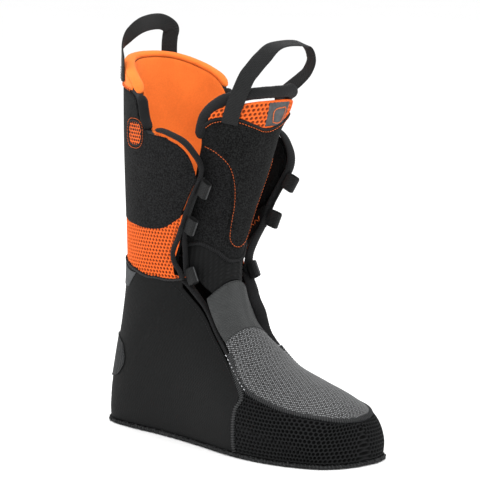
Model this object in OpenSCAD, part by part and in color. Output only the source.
// Right-foot ski boot liner: a foam boot with a felt cuff that flexes at the ankle,
// two flaps that open at the front, a padded tongue and two webbing pull loops.
// Frame: toe along +X, inner (medial) side +Y, +Z up. The sole lies flat on Z = 0 and
// the origin is on the sole, right under the ankle axis.

/* [Size] */
// Length from the back of the heel to the toe tip
foot_length = 293; // [270:1:310]
// Width across the ball of the foot
ball_width = 101; // [94:1:108]
// Height of the cuff at the back
cuff_height = 318; // [300:1:335]

/* [Layers] */
// Thickness of the outer fabric panels
skin_t = 1.6; // [1.2:0.1:2]
// Thickness of the foam in the foot and the cuff
foam_t = 6; // [5:0.1:6.5]
// Thickness of the foam in the flaps
flap_foam_t = 4; // [3:0.1:4.5]
// Thickness of the inner lining
lining_t = 1.2; // [1:0.1:1.4]
// Space between two layers
gap = 0.5; // [0.4:0.05:0.7]

/* [Sole] */
// Thickness of the outsole
outsole_t = 2.5; // [2:0.1:3]
// Thickness of the insole board
board_t = 1.5; // [1:0.1:2]
// Thickness of the footbed
footbed_t = 4; // [3:0.5:5]

/* [Trim] */
// Half width of the bound edges
binding_r = 2; // [1.5:0.1:2.4]
// Radius of an overlocked seam
seam_r = 1; // [0.6:0.1:1.2]
// Width of the pull loop webbing
webbing_w = 14; // [12:0.5:18]
// Thickness of the webbing
webbing_t = 1.6; // [1.3:0.1:1.8]
// Height of a lace loop
lace_loop_h = 14; // [12:0.5:16]
// Clear space inside a lace loop
lace_loop_gap = 4.6; // [4.4:0.1:5.2]
// Depth of the space inside a lace loop
lace_loop_reach = 7; // [6:0.1:8]
// Thickness of a lace loop
lace_loop_t = 1.2; // [1:0.1:1.5]
// Diameter of the holes in the heel grip
grip_hole_d = 2.6; // [2:0.1:3]

/* [Pose] */
// How far the inner flap stands open
inner_flap_flare = 24; // [18:1:26]

/* [Hidden] */

// Cross sections from the toe tip round the heel and up the cuff. Each lies in the plane that
// holds its two ends and the Y direction: [end under the sole or at the back, x and z; end on
// top or in front, x and z; outer and inner half width; roundness of the front and back half].
// They are stated for a liner 293 long, 101 wide and 318 high, measured from the heel.
SECTIONS = [
    [254, -14, 287,   3.4, 34, 32, 2.0, 2.4],
    [252, -14, 284,  25,   41, 38, 2.1, 2.8],
    [246, -15, 272,  44,   46, 43, 2.1, 3.0],
    [236, -16, 250,  56,   50, 46, 2.0, 3.2],
    [214, -16, 220,  65,   53, 48, 2.0, 3.2],
    [185, -16, 190,  75,   52, 48, 2.0, 3.2],
    [148, -16, 166,  91,   47, 45, 2.0, 3.2],
    [110, -16, 149, 106,   42, 40, 2.0, 3.2],
    [ 70, -16, 141, 121,   39, 38, 2.1, 3.2],
    [ 28, -16, 138, 136,   38, 37, 2.1, 3.2],
    [ -1,  -9, 139, 149,   38, 37, 2.2, 3.0],
    [ -7,  14, 141, 162,   38, 36, 2.2, 2.6],
    [ -4,  45, 144, 175,   39, 37, 2.2, 2.2],
    [  7,  85, 149, 191,   41, 41, 2.2, 2.2],
    [ 17, 125, 156, 209,   46, 46, 2.2, 2.2],
    [ 20, 168, 165, 235,   51, 52, 2.2, 2.2],
    [ 20, 215, 175, 263,   54, 56, 2.2, 2.2],
    [ 19, 265, 185, 290,   56, 59, 2.2, 2.2],
    [ 19, 332, 194, 334,   56, 60, 2.2, 2.2],
];
LAST = len(SECTIONS) - 1;
long_k = foot_length / 293;
wide_k = ball_width / 101;
high_k = cuff_height / 318;
ankle_x = 75;
toe_drift_start = 150;
toe_drift = 9;
inner_stand = [6, 11, 0];
BODY = 0;
TONGUE = 1;

// Layers, as depths below the outer surface
foam_top = skin_t + gap;
foam_end = foam_top + foam_t;
lining_top = foam_end + gap;
lining_end = lining_top + lining_t;
flap_foam_end = foam_top + flap_foam_t;
flap_lining_top = flap_foam_end + gap;
flap_lining_end = flap_lining_top + lining_t;
binding_depth = flap_lining_end / 2;
binding_reach = flap_lining_end / 2 + 0.3;
wall_foot_z = outsole_t + gap;
footbed_z = outsole_t + board_t + 2 * gap;
// The foot's own foam starts deeper, and higher above the board, because its walls are curved both ways
foot_foam_top = foam_top + 1.9;
foot_foam_end = foam_end - 0.8;
foam_foot_z = footbed_z + 2.6;

// The fold between cuff and flap, as a place round the section, and the slit along it
fold_v = 0.235;
fold_slit = 0.008;

// Lines on the cuff, as [place round the section, height]
ANKLE_LOW = [[0, 151], [0.1, 149], [0.18, 143], [0.235, 138], [0.29, 137], [0.318, 138.3]];
ANKLE_HIGH = [[0, 186], [0.1, 185], [0.18, 182], [0.235, 180], [0.27, 183], [0.305, 192]];
FLAP_TOP = [[0.239, 262], [0.262, 260], [0.296, 254], [0.322, 243], [0.339, 227]];
FLAP_LOW = [[0.239, 181], [0.262, 182], [0.28, 185], [0.293, 189], [0.305, 193]];

// Lines on the foot, as [section, place round the section]
THROAT = [[6.55, 0.389], [7.4, 0.392], [8.7, 0.387], [10, 0.368], [11.2, 0.343], [12.1, 0.318]];
QUARTER_FRONT = [[4.98, 0.358], [5.6, 0.374]];
VAMP_EDGE = [[6.1, 0.392], [5, 0.358], [4, 0.352], [3, 0.36], [2.1, 0.4], [1.7, 0.45], [1.6, 0.5]];
toe_side_u = 4.9;
toe_seam_room = 0.08;
FOAM_THROAT = [for (q = THROAT) if (q[0] < 11.5) q];
QUARTER_EDGE = concat(QUARTER_FRONT, FOAM_THROAT);
TOE_TOP = [[toe_side_u - 0.04, 0.35], [4, 0.345], [3, 0.353], [2.1, 0.39], [1.66, 0.435], [1.5, 0.5]];
ANKLE_LOW_CLEAR = [[0, 151.5], [0.1, 150], [0.18, 144.5], [0.235, 140], [0.275, 139.5], [0.29, 141]];
ANKLE_HIGH_CLEAR = [[0, 184.5], [0.1, 183.5], [0.18, 180.5], [0.235, 178.5], [0.265, 179], [0.288, 178]];
ANKLE_EDGE = [[0.321, 146], [0.303, 153], [0.297, 160], [0.3, 167], [0.306, 173]];
CUFF_LOW = [[0, 186.5], [0.1, 185.5], [0.17, 183], [fold_v - fold_slit, 181]];
RIM_LINE = [[0, 327], [0.07, 325], [0.13, 318], [0.175, 308], [0.191, 299]];
CUFF_EDGE = [[0.1935, 297], [0.2, 292], [0.212, 276], [0.224, 269.5]];
BAND_LOW = [[0, 301], [0.07, 301], [0.13, 300], [0.175, 298]];
BAND_TOP = [[0, 327], [0.07, 325], [0.13, 318], [0.18, 306.5]];
FELT_TOP = [[0, 300], [0.08, 300], [0.15, 298], [0.19, 291], [0.203, 277], [0.226, 263]];
FLAP_EDGE = [[0.309, 176], [0.314, 185], [0.321, 196], [0.333, 210], [0.345, 222], [0.352, 231], [0.346, 240],
    [0.328, 249], [0.3, 259], [0.265, 265], [0.243, 267]];
// The bound front edge as [height, place round the section], and the lace loops' heights on it
EDGE_V = [[130, 0.35], [137, 0.343], [144, 0.319], [153, 0.303], [160, 0.297], [167, 0.3], [176, 0.309],
    [185, 0.314], [196, 0.321], [210, 0.333], [222, 0.345], [231, 0.352]];
tape_back = 0.008;
tape_front = 0.013;
tape_half = 0.6;
TAPE_Z = [178, 188, 198, 208, 218, 228];
top_loop_z = 220;
mid_loop_z = 187;
low_loop_z = 139;
TONGUE_LOW = [[13.5, 0.28], [12.9, 0.34], [11.8, 0.405], [10.7, 0.455], [10.35, 0.5]];
TONGUE_TOP = [[16.2, 0.305], [16.7, 0.325], [17.05, 0.355], [17.2, 0.4], [17.24, 0.45], [17.24, 0.5]];
PIPING = [[16.0, 0.3], [16.55, 0.33], [16.76, 0.362], [16.72, 0.41], [16.45, 0.455], [16.25, 0.5]];
SHIELD_LOW = [[15.7, 0.39], [14.6, 0.435], [13.3, 0.455], [12.1, 0.465], [11.5, 0.485], [11.35, 0.5]];
SHIELD_TOP = [[16.2, 0.345], [16.5, 0.35], [16.67, 0.37], [16.64, 0.412], [16.37, 0.458], [16.18, 0.5]];
BAND_MESH_LOW = [[16.78, 0.35], [16.81, 0.37], [16.79, 0.41], [16.52, 0.455], [16.32, 0.5]];
BAND_MESH_TOP = [[16.86, 0.355], [16.9, 0.37], [16.97, 0.41], [17.01, 0.455], [17.01, 0.5]];

// ---- the shared outer surface ----

function pick(i) = SECTIONS[max(0, min(LAST, i))];
function spline(a, b, c, d, f) =
    0.5 * (2 * b + (c - a) * f + (2 * a - 5 * b + 4 * c - d) * f * f + (3 * b - a - 3 * c + d) * f * f * f);
function section(u) =
    let (w = max(0, min(LAST, u)), i = min(floor(w), LAST - 1))
    spline(pick(i - 1), pick(i), pick(i + 1), pick(i + 2), w - i);
function ease(a, b, x) = let (f = max(0, min(1, (x - a) / (b - a)))) f * f * (3 - 2 * f);

// The tongue is narrower than the gap between the flaps, and widens above them
function tongue_half(w, u) =
    let (slim = max(0.887 * w - 10.5, min(w - 10, 29)))
    slim + (w - 7 - slim) * ease(16.1, 17.1, u);
function section_of(kind, u) =
    let (s = section(u))
    kind == BODY ? s : [s[0], s[1], s[2], s[3], tongue_half(s[4], u), tongue_half(s[5], u), 2.6, 2.2];

// How far the edge of the inner throat stands off the instep, from 0 to 1
function stand(u, v) =
    v < 0.605 || v > 0.78 ? 0 : ease(0.78, 0.64, v) * ease(5.2, 8.4, u) * ease(14.5, 12, u);
function bend(x, n) = sign(x) * pow(abs(x), 2 / n);
function drift(x) = toe_drift * pow(max(0, min(1, (x - toe_drift_start) / 140)), 2);
function at(kind, u, v) =
    let (
        s = section_of(kind, u),
        c = cos(360 * v),
        d = sin(360 * v),
        n = c > 0 ? s[7] : s[6],
        m = 0.5 - 0.5 * bend(c, n),
        x = s[0] + (s[2] - s[0]) * m,
        half = d > 0 ? s[4] : s[5]
    )
    [
        (x - ankle_x) * long_k,
        (drift(x) - bend(d, n) * half) * wide_k,
        (s[1] + (s[3] - s[1]) * m) * high_k
    ] + (kind == BODY ? stand(u, v - floor(v)) : 0) * inner_stand;
function out(kind, u, v) =
    let (
        across = at(kind, u, v + 0.002) - at(kind, u, v - 0.002),
        down = at(kind, u + 0.02, v) - at(kind, u - 0.02, v),
        n = cross(across, down)
    )
    n / norm(n);
function deep(kind, u, v, d) = at(kind, u, v) - d * out(kind, u, v);

// Section number at which the surface reaches a height
function rise(v, z, lo = 9, hi = LAST, n = 16) =
    let (m = (lo + hi) / 2)
    n == 0 ? m : at(BODY, m, v)[2] < z ? rise(v, z, m, hi, n - 1) : rise(v, z, lo, m, n - 1);
// Place round a section at which it leaves the floor height z
function foot_v(u, z) =
    let (
        s = section(u),
        m = max(0, min(0.99, (z / high_k - s[1]) / (s[3] - s[1]))),
        c = 1 - 2 * m
    )
    acos(sign(c) * pow(abs(c), (c > 0 ? s[7] : s[6]) / 2)) / 360;

// A smooth line through points, in n steps
function line(p, n) =
    [for (i = [0:n])
        let (t = i * (len(p) - 1) / n, j = min(floor(t), len(p) - 2))
        spline(p[max(j - 1, 0)], p[j], p[j + 1], p[min(j + 2, len(p) - 1)], t - j)];
function on_cuff(p) = [for (q = p) [rise(q[0], q[1] * high_k), q[0]]];
function other_side(p) = [for (q = p) [q[0], -q[1]]];
function lowered(p, dz) = [for (q = p) [q[0], q[1] - dz]];
function flip(p) = [for (i = [len(p) - 1:-1:0]) p[i]];
function round_back(p) = concat([for (i = [len(p) - 1:-1:1]) [-p[i][0], p[i][1]]], p);
function round_front(p) = concat(p, [for (i = [len(p) - 2:-1:0]) [p[i][0], 1 - p[i][1]]]);
function shifted(p, du, dv) = [for (q = p) [q[0] + du, q[1] + dv]];

// ---- solids made on the surface ----

function cell(a, b, c, d) = [[a, b, c], [a, c, d]];
// A closed slab from two grids of points, outer then inner, n by rows cells
module slab(p, n, rows) {
    m = (n + 1) * (rows + 1);
    side = n + 1;
    polyhedron(p, concat(
        [for (j = [0:rows - 1], i = [0:n - 1])
            let (a = j * side + i) each cell(a, a + side, a + side + 1, a + 1)],
        [for (j = [0:rows - 1], i = [0:n - 1])
            let (a = m + j * side + i) each cell(a, a + 1, a + side + 1, a + side)],
        [for (i = [0:n - 1]) each cell(i, i + 1, m + i + 1, m + i)],
        [for (i = [0:n - 1]) let (a = rows * side + i) each cell(a, m + a, m + a + 1, a + 1)],
        [for (j = [0:rows - 1]) let (a = j * side) each cell(a, m + a, m + a + side, a + side)],
        [for (j = [0:rows - 1]) let (a = j * side + n) each cell(a, a + side, m + a + side, m + a)]
    ));
}
// A panel between two lines of equal count on the surface, from one depth to another
module panel(low, high, rows, outer, inner, kind = BODY) {
    slab(
        [for (d = [outer, inner], j = [0:rows], i = [0:len(low) - 1])
            let (q = low[i] + (high[i] - low[i]) * j / rows) deep(kind, q[0], q[1], d)],
        len(low) - 1, rows);
}
// The same panel on the inner side of the boot
module far_panel(low, high, rows, outer, inner) {
    panel(flip(other_side(low)), flip(other_side(high)), rows, outer, inner);
}
// A closed tube whose rings are lists of equal count
module skinned(rings, ends = true) {
    n = len(rings[0]);
    k = len(rings);
    polyhedron([for (r = rings) each r], concat(
        [for (j = [0:ends ? k - 2 : k - 1], i = [0:n - 1])
            let (a = j * n, b = (j + 1) % k * n, h = (i + 1) % n) each cell(a + i, a + h, b + h, b + i)],
        ends ? [for (i = [1:n - 2]) [0, i + 1, i]] : [],
        ends ? [for (i = [1:n - 2]) let (a = (k - 1) * n) [a, a + i, a + i + 1]] : []
    ));
}
function unit(v) = v / norm(v);
// An edge or seam that follows a line on the surface, wide along it and thick through it
module cord(path, wide, thick, depth, sides = 8, kind = BODY) {
    k = len(path) - 1;
    c = [for (q = path) deep(kind, q[0], q[1], depth)];
    skinned([for (i = [0:k])
        let (
            n = out(kind, path[i][0], path[i][1]),
            t = unit(c[min(k, i + 1)] - c[max(0, i - 1)]),
            s = unit(cross(t, n))
        )
        [for (j = [0:sides - 1])
            let (a = 360 * (j + 0.5) / sides) c[i] + wide * cos(a) * s + thick * sin(a) * n]]);
}
// A flat strap through centre points, with the direction that its face looks in at each of them
module strap(centres, faces, steps) {
    c = line(centres, steps);
    f = line(faces, steps);
    skinned([for (i = [0:steps])
        let (
            t = unit(c[min(steps, i + 1)] - c[max(0, i - 1)]),
            s = unit(cross(t, f[i])) * webbing_w / 2,
            n = unit(cross(s, t)) * webbing_t / 2
        )
        [c[i] - s - n, c[i] + s - n, c[i] + s + n, c[i] - s + n]]);
}

// ---- foot ----

heel_u = rise(0, wall_foot_z + 0.01);
outline_n = 36;
back_v = 0.004;
toe_crowding = 1.6;
// Where the wall meets a floor height, from a section forward to the toe tip, closer together there
function sole_path(z, from_u, n) =
    let (tip = rise(0.5, z, 0, 3))
    concat(
        [for (i = [0:n]) let (u = tip + (from_u - tip) * pow(1 - i / n, toe_crowding)) [u, foot_v(u, z)]],
        [[tip, 0.5]]);
function sole_outline(z) =
    let (p = [for (i = [0:outline_n])
             let (u = heel_u * (1 - cos(180 * i / outline_n)) / 2) [u, foot_v(u, z)]],
         o = [for (q = p) let (r = at(BODY, q[0], q[1])) [r[0], r[1]]],
         m = [for (q = p) let (r = at(BODY, q[0], -q[1])) [r[0], r[1]]])
    concat(o, [for (i = [len(m) - 2:-1:0]) m[i]]);
function inset(p, d) =
    [for (i = [0:len(p) - 1])
        let (k = len(p), t = p[(i + 1) % k] - p[(i - 1 + k) % k])
        p[i] + d * [t[1], -t[0]] / norm(t)];

footbed_room = 5;
module sole_layer(z, thick, margin) {
    translate([0, 0, z])
        linear_extrude(thick)
            polygon(inset(sole_outline(wall_foot_z), margin));
}
module outsole() { color("#1b1c1d") sole_layer(0, outsole_t, 0); }
module insole_board() { color("#3a3a38") sole_layer(outsole_t + gap / 2, board_t, 2 * foam_top); }
module footbed() {
    color("#26282a")
        translate([0, 0, footbed_z])
            linear_extrude(footbed_t)
                offset(delta = -lining_end - footbed_room) polygon(sole_outline(wall_foot_z));
}
module sole_seam() {
    p = inset(sole_outline(wall_foot_z), -seam_r - 0.15);
    k = len(p);
    color("#17181a")
        skinned([for (i = [0:k - 1])
            let (t = unit(p[(i + 1) % k] - p[(i - 1 + k) % k]))
            [for (a = [315:-90:45])
                [p[i][0] - t[1] * seam_r * cos(a), p[i][1] + t[0] * seam_r * cos(a), 1.45 + 1.2 * sin(a)]]],
            ends = false);
}
// Wall of one side: its foot runs along the floor and up the back, its top along throat and ankle
QUARTER_TOP = concat(
    line(on_cuff(lowered(ANKLE_LOW, 1.2)), 8),
    line(flip(shifted(QUARTER_EDGE, 0, -0.023)), 12));
QUARTER_LOW = concat(
    [for (i = [0:5]) [rise(back_v, wall_foot_z + (148 - wall_foot_z) * (1 - i / 6)), back_v]],
    [for (i = [0:15])
        let (u = heel_u + (toe_side_u + toe_seam_room - heel_u) * i / 15)
            [u, max(back_v, foot_v(u, wall_foot_z))]]);

module toe_cap() {
    low = sole_path(wall_foot_z, toe_side_u - 0.04, 11);
    color("#202224") panel(round_front(low), line(round_front(TOE_TOP), 24), 5, 0, skin_t);
}
module toe_seam() {
    low_v = foot_v(toe_side_u, 5);
    side_seam = [for (i = [0:3]) [toe_side_u, low_v + (0.345 - low_v) * i / 3]];
    color("#141516") {
        cord(round_front(line(VAMP_EDGE, 11)), seam_r, seam_r, 0.5, 6);
        for (p = [side_seam, other_side(side_seam)]) cord(p, seam_r, seam_r, 0.5, 6);
    }
}
module vamp() {
    low = line(round_front(shifted(VAMP_EDGE, toe_seam_room, 0.01)), 20);
    color("#4a4d4f") panel(low, [for (i = [0:20]) [6.36, 0.402 + 0.196 * i / 20]], 5, 0, skin_t);
}
module outer_quarter() {
    color("#2d2f2f") panel(QUARTER_LOW, QUARTER_TOP, 5, 0, skin_t);
}
module inner_quarter() {
    color("#2d2f2f") far_panel(QUARTER_LOW, QUARTER_TOP, 5, 0, skin_t);
}
// Foam and lining run round the whole foot under the panels, up to the throat, and meet at the back
module foot_shell(outer, inner, margin) {
    n = 13;
    foot = sole_path(foam_foot_z, rise(back_v, foam_foot_z), n);
    low = [for (q = foot) [q[0], max(back_v, q[1])]];
    ankle = lowered([ANKLE_LOW[1], ANKLE_LOW[2], ANKLE_LOW[3]], 1.5 + margin);
    side = concat([[rise(back_v, 148 - margin), back_v]], on_cuff(ankle),
        flip(shifted(FOAM_THROAT, 0, -0.036)), [[6.3, 0.37], [6.3, 0.42], [6.3, 0.46], [6.3, 0.5]]);
    panel(round_front(low), round_front(line(side, n + 1)), 7, outer, inner);
}
module foot_foam() { color("#3b3d3e") foot_shell(foot_foam_top, foot_foam_end, 0); }
module foot_lining() { color("#1e1f20") foot_shell(lining_top + gap, lining_end + gap, 2); }
module instep_strap() {
    n = 8;
    color("#2b2b2d")
        panel([for (i = [0:n]) [6.5, 0.402 + 0.196 * i / n]], [for (i = [0:n]) [9.1, 0.398 + 0.204 * i / n]],
            4, -0.2, 1.1);
}
module tongue_root() {
    n = 8;
    color("#252728")
        panel([for (i = [0:n]) [6.6, 0.42 + 0.16 * i / n]], [for (i = [0:n]) [9.15, 0.4 + 0.2 * i / n]],
            4, 2.2, 7, TONGUE);
}
module throat_binding(path) {
    color("#17181a") cord(line(path, 14), binding_r, lining_end / 2 + 0.3, lining_end / 2);
}
module outer_throat_binding() { throat_binding(THROAT); }
module inner_throat_binding() { throat_binding(other_side(THROAT)); }

// ---- heel ----

GRIP_LOW = [[0, 43], [0.06, 42], [0.12, 42], [0.17, 46], [0.195, 56]];
GRIP_TOP = [[0, 79], [0.06, 80], [0.12, 79], [0.17, 74], [0.195, 63]];
PATCH_LOW = [[0, 128], [0.08, 127], [0.16, 126]];
PATCH_TOP = [[0, 148], [0.09, 147], [0.195, 140]];
module across_surface(v, z, d = 0) {
    u = rise(v, z);
    n = out(BODY, u, v);
    translate(deep(BODY, u, v, d)) rotate([0, acos(n[2]), atan2(n[1], n[0])]) children();
}
module heel_grip() {
    color("#3c3e40") difference() {
        panel(line(on_cuff(round_back(GRIP_LOW)), 16), line(on_cuff(round_back(GRIP_TOP)), 16),
            4, -1.2, -0.2);
        for (z = [50:7.5:72.5])
            for (k = [-4:4])
                across_surface(k * 0.038, z) cylinder(h = 8, d = grip_hole_d, center = true, $fn = 24);
    }
}
module rear_patch() {
    color("#4b4e50")
        panel(line(on_cuff(round_back(PATCH_LOW)), 12), line(on_cuff(round_back(PATCH_TOP)), 12),
            2, -1.2, -0.6);
}

// ---- ankle zone, which folds when the cuff flexes ----

module ankle_band(outer, inner) {
    n = 20;
    panel(line(on_cuff(round_back(ANKLE_LOW_CLEAR)), n), line(on_cuff(round_back(ANKLE_HIGH_CLEAR)), n), 4,
        outer, inner);
}
module ankle_mesh() { color("#e8641b") ankle_band(0.1, skin_t); }
module ankle_foam() { color("#3b3d3e") ankle_band(foam_top, lining_end); }
module ankle_bindings() {
    path = line(on_cuff(ANKLE_EDGE), 6);
    color("#17181a")
        for (p = [path, other_side(path)]) cord(p, binding_r, binding_reach, binding_depth);
}
module tongue_flex_panel() {
    n = 14;
    color("#303233")
        panel([for (i = [0:n]) [9.25, 0.4 + 0.2 * i / n]], shifted(line(round_front(TONGUE_LOW), n), -0.1, 0),
            4, 1.5, 6, TONGUE);
}

// ---- cuff ----

cuff_n = 22;
rim_r = 3;
edge_r = 2.6;
under_rim = 7.5;
CUFF_INSIDE = [[0, 327], [0.07, 325], [0.13, 318], [0.168, 306], [0.184, 290], [0.198, 274], [0.218, 263]];
module cuff_shell(top, outer, inner) {
    low = on_cuff(round_back(CUFF_LOW));
    panel(line(low, cuff_n), line(on_cuff(round_back(top)), cuff_n), 7, outer, inner);
}
module cuff_foam() { color("#3b3d3e") cuff_shell(lowered(CUFF_INSIDE, under_rim), foam_top, foam_end); }
module cuff_lining() { color("#f26a1b") cuff_shell(lowered(CUFF_INSIDE, under_rim), lining_top, lining_end); }
module cuff_rim() {
    path = on_cuff(round_back(lowered(RIM_LINE, rim_r)));
    color("#f26a1b") cord(line(path, cuff_n), rim_r, lining_end / 2, lining_end / 2);
}
module cuff_edge_bindings() {
    path = line(on_cuff(lowered(CUFF_EDGE, rim_r)), 6);
    color("#17181a")
        for (p = [path, other_side(path)]) cord(p, edge_r, lining_end / 2, lining_end / 2);
}
module cuff_rim_band() {
    n = 16;
    top = lowered(BAND_TOP, under_rim);
    color("#f47a2c")
        panel(line(on_cuff(round_back(BAND_LOW)), n), line(on_cuff(round_back(top)), n), 2, 0, skin_t);
}
window_v = 0.19;
window_z = 262;
window_half = [12, 10.5];
module cuff_window(grow) {
    for (s = [-1, 1])
        across_surface(s * window_v, window_z)
            linear_extrude(8, center = true)
                polygon([for (a = [0:20:340])
                    [(window_half[0] + grow) * bend(cos(a), 3), (window_half[1] + grow) * bend(sin(a), 3)]]);
}
module cuff_back_panel() {
    color("#1f2122") difference() {
        cuff_shell(FELT_TOP, 0, skin_t);
        cuff_window(0);
    }
}
module cuff_window_mesh() {
    color("#e8641b") intersection() {
        cuff_shell(FELT_TOP, 0.5, skin_t);
        cuff_window(-0.3);
    }
}

// ---- flaps ----

FOLD_LOW = deep(BODY, rise(fold_v, 186), fold_v, -1);
FOLD_HIGH = deep(BODY, rise(fold_v, 262), fold_v, -1);
INNER_FOLD_LOW = deep(BODY, rise(fold_v, 186), -fold_v, -1);
INNER_FOLD_HIGH = deep(BODY, rise(fold_v, 262), -fold_v, -1);
flap_n = 8;
flap_rows = 6;
module flap(outer, inner, side) {
    low = line(on_cuff(FLAP_LOW), flap_n);
    high = line(on_cuff(FLAP_TOP), flap_n);
    if (side > 0) panel(low, high, flap_rows, outer, inner);
    else far_panel(low, high, flap_rows, outer, inner);
}
module flared() {
    translate(INNER_FOLD_LOW)
        rotate(a = inner_flap_flare, v = INNER_FOLD_HIGH - INNER_FOLD_LOW)
            translate(-INNER_FOLD_LOW) children();
}
FLAP_EDGE_PATH = line(on_cuff(FLAP_EDGE), 16);
module flap_binding(side) {
    path = side > 0 ? FLAP_EDGE_PATH : other_side(FLAP_EDGE_PATH);
    cord(path, binding_r, binding_reach, binding_depth);
}
function edge_strip(dv) = on_cuff([for (z = TAPE_Z) [lookup(z, EDGE_V) + dv, z]]);
module lace_tape(side) {
    low = edge_strip(tape_front);
    high = edge_strip(tape_back);
    if (side > 0) panel(low, high, 1, binding_depth - tape_half, binding_depth + tape_half);
    else far_panel(low, high, 1, binding_depth - tape_half, binding_depth + tape_half);
}
module outer_flap_foam() { color("#3b3d3e") flap(foam_top, flap_foam_end, 1); }
module outer_flap_lining() { color("#121314") flap(flap_lining_top, flap_lining_end, 1); }
module outer_flap_panel() { color("#1f2122") flap(0, skin_t, 1); }
module outer_flap_binding() { color("#17181a") flap_binding(1); }
module outer_lace_tape() { color("#202122") lace_tape(1); }
module inner_flap_foam() { color("#3b3d3e") flared() flap(foam_top, flap_foam_end, -1); }
module inner_flap_lining() { color("#121314") flared() flap(flap_lining_top, flap_lining_end, -1); }
module inner_flap_panel() { color("#1f2122") flared() flap(0, skin_t, -1); }
module inner_flap_binding() { color("#17181a") flared() flap_binding(-1); }
module inner_lace_tape() { color("#202122") flared() lace_tape(-1); }

// ---- lace loops ----

function edge_point(z, side) =
    let (v = lookup(z, EDGE_V) + tape_front) deep(BODY, rise(v, z), side * v, binding_depth);
// A folded webbing loop: a flat ring whose open ends point along the edge that it is sewn to
module lace_loop(z, side) {
    low = edge_point(z - lace_loop_h / 2, side);
    high = edge_point(z + lace_loop_h / 2, side);
    along = unit([high[0] - low[0], 0, high[2] - low[2]]);
    ahead = cross([0, 1, 0], along);
    centre = (low + high) / 2 + ahead * (lace_loop_t + gap);
    w = lace_loop_gap / 2;
    color("#2a2b2c")
        multmatrix([for (r = [0:2]) [ahead[r], r == 1 ? 1 : 0, along[r], centre[r]]])
            translate([0, 0, -lace_loop_h / 2])
                linear_extrude(lace_loop_h) difference() {
                    ring_side(w + lace_loop_t, w);
                    ring_side(w, w);
                }
}
module ring_side(half, inset_x) {
    translate([lace_loop_reach / 2, 0]) square([lace_loop_reach - 2 * inset_x, 2 * half], center = true);
    for (x = [inset_x, lace_loop_reach - inset_x])
        translate([x, 0]) circle(half, $fn = 32);
}
module outer_top_lace_loop() { lace_loop(top_loop_z, 1); }
module outer_mid_lace_loop() { lace_loop(mid_loop_z, 1); }
module outer_low_lace_loop() { lace_loop(low_loop_z, 1); }
module inner_top_lace_loop() { flared() lace_loop(top_loop_z, -1); }
module inner_mid_lace_loop() { flared() lace_loop(mid_loop_z, -1); }
module inner_low_lace_loop() { lace_loop(low_loop_z, -1); }

// ---- tongue ----

tongue_n = 14;
module tongue_layer(top, outer, inner) {
    panel(line(round_front(TONGUE_LOW), tongue_n), line(round_front(top), tongue_n), 7, outer, inner, TONGUE);
}
TONGUE_INSIDE = shifted(TONGUE_TOP, -0.3, 0.006);
module tongue_cover() { color("#1d1e1f") tongue_layer(shifted(PIPING, -0.12, 0.008), 2, 2.9); }
module tongue_foam() { color("#3b3d3e") tongue_layer(TONGUE_INSIDE, 3.5, 7); }
module tongue_lining() { color("#161718") tongue_layer(TONGUE_INSIDE, 7.5, 8.5); }
module tongue_shield() {
    n = 12;
    color("#2a2c2d")
        panel(line(round_front(SHIELD_LOW), n), line(round_front(SHIELD_TOP), n), 6, 0, 1.1, TONGUE);
}
module tongue_mesh() {
    color("#e8641b")
        panel(line(round_front(BAND_MESH_LOW), 12), line(round_front(BAND_MESH_TOP), 12), 2, 1, 2.6, TONGUE);
}
module tongue_rim() {
    color("#17181a") cord(line(round_front(TONGUE_TOP), 20), 5, 5, 4, 10, TONGUE);
}
module tongue_label() {
    v = [for (i = [0:3]) 0.51 + 0.014 * i];
    color("#6d7072")
        panel([for (q = v) [16.5, q]], [for (q = v) [16.98, q]], 3, -0.3, 0.5, TONGUE);
}

// ---- pull loops ----

// Each loop turns about the line through the middle of its two bends, just above the rim. Below
// the bends the webbing is sewn to the rim.
bend_half = 4.5;
bend_gap = 0.5;
up = [0, 0, 1];
leg_a_v = 0.125;
leg_b_v = -0.065;
leg_out = -1.3;
anchor_z = 304;
REAR_A = deep(BODY, rise(leg_a_v, 325), leg_a_v, leg_out);
REAR_B = deep(BODY, rise(leg_b_v, 331), leg_b_v, leg_out);
REAR_A_LOW = deep(BODY, rise(leg_a_v, anchor_z), leg_a_v, leg_out);
REAR_B_LOW = deep(BODY, rise(leg_b_v, anchor_z), leg_b_v, leg_out);
REAR_A_FACE = [0.56, 0.83, 0];
REAR_B_FACE = [0.87, -0.5, 0];
loop_start = bend_half + bend_gap;
tongue_leg_v = [0.385, 0.63];
TONGUE_A = deep(TONGUE, 17.4, tongue_leg_v[0], -2.6) + [0, 0, 5];
TONGUE_B = deep(TONGUE, 17.4, tongue_leg_v[1], 10.8) + [6, 7, 5];
TONGUE_A_FACE = [-0.75, 0.66, 0];
TONGUE_B_FACE = [-0.2, -0.97, 0.1];
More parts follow.
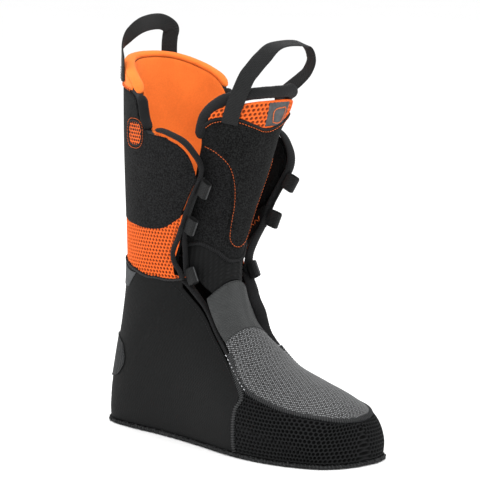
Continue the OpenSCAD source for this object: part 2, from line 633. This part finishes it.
// The straight root of a loop's leg, above its bend
function loop_root(foot) = [for (k = [0:2]) foot + (loop_start + 3 * k) * up];
module leg_bend(foot, face) {
    low_end = foot + (2 * bend_gap - bend_half) * up;
    strap([low_end, foot, foot + bend_half * up], [face, face, face], 2);
}
module rear_loop() {
    color("#1a1b1c") strap(
        concat(loop_root(REAR_A), [REAR_A + [-1, 8, 19], REAR_A + [-4, 26, 26], REAR_B + [1, -12, 22]],
            flip(loop_root(REAR_B))),
        [REAR_A_FACE, REAR_A_FACE, [0.7, 0.7, 0], [0.9, 0.4, 0], [0.98, 0.17, 0], [0.98, 0, 0],
            [0.9, -0.4, 0], REAR_B_FACE, REAR_B_FACE],
        24);
}
module rear_loop_bends() {
    color("#1a1b1c") {
        leg_bend(REAR_A, REAR_A_FACE);
        leg_bend(REAR_B, REAR_B_FACE);
    }
}
module rear_loop_anchors() {
    legs = [[REAR_A_LOW, REAR_A, REAR_A_FACE], [REAR_B_LOW, REAR_B, REAR_B_FACE]];
    color("#1a1b1c")
        for (leg = legs)
            strap([leg[0], (leg[0] + leg[1]) / 2, leg[1] - bend_half * up], [for (i = [0:2]) leg[2]], 2);
}
module tongue_loop() {
    color("#1a1b1c") strap(
        concat(loop_root(TONGUE_A), [TONGUE_A + [4, 12, 18], TONGUE_A + [7, 38, 28], TONGUE_B + [3, -3, 25]],
            flip(loop_root(TONGUE_B))),
        [TONGUE_A_FACE, TONGUE_A_FACE, [-0.75, 0.6, -0.2], [-0.6, 0.5, -0.5], [-0.3, 0.1, -0.9],
            [-0.2, -0.5, -0.8], [-0.2, -0.97, 0], TONGUE_B_FACE, TONGUE_B_FACE],
        24);
}
module tongue_loop_bends() {
    color("#1a1b1c") {
        leg_bend(TONGUE_A, TONGUE_A_FACE);
        leg_bend(TONGUE_B, TONGUE_B_FACE);
    }
}
module tongue_loop_anchors() {
    u = [[16.65, 16.9, 17.15], [16.65, 16.95, 17.32]];
    depths = [[-1.2, -2.4, -3.2], [10.4, 10.5, 10.8]];
    ends = [TONGUE_A, TONGUE_B];
    color("#1a1b1c")
        for (leg = [0, 1])
            strap(concat([for (i = [0:2]) deep(TONGUE, u[leg][i], tongue_leg_v[leg], depths[leg][i])],
                    [ends[leg] - (bend_half + 5 * bend_gap) * up]),
                [for (i = [0:3]) -out(TONGUE, u[leg][1], tongue_leg_v[leg])], 6);
}

outsole();
sole_seam();
insole_board();
footbed();
foot_foam();
foot_lining();
toe_cap();
toe_seam();
vamp();
outer_quarter();
inner_quarter();
heel_grip();
rear_patch();
instep_strap();
tongue_root();
outer_throat_binding();
inner_throat_binding();
outer_low_lace_loop();
inner_low_lace_loop();
ankle_mesh();
ankle_foam();
ankle_bindings();
tongue_flex_panel();
cuff_foam();
cuff_lining();
cuff_rim();
cuff_edge_bindings();
cuff_rim_band();
cuff_back_panel();
cuff_window_mesh();
rear_loop_anchors();
outer_flap_foam();
outer_flap_lining();
outer_flap_panel();
outer_flap_binding();
outer_lace_tape();
outer_top_lace_loop();
outer_mid_lace_loop();
inner_flap_foam();
inner_flap_lining();
inner_flap_panel();
inner_flap_binding();
inner_lace_tape();
inner_top_lace_loop();
inner_mid_lace_loop();
tongue_foam();
tongue_lining();
tongue_cover();
tongue_shield();
tongue_mesh();
tongue_rim();
tongue_label();
tongue_loop_anchors();
rear_loop_bends();
rear_loop();
tongue_loop_bends();
tongue_loop();
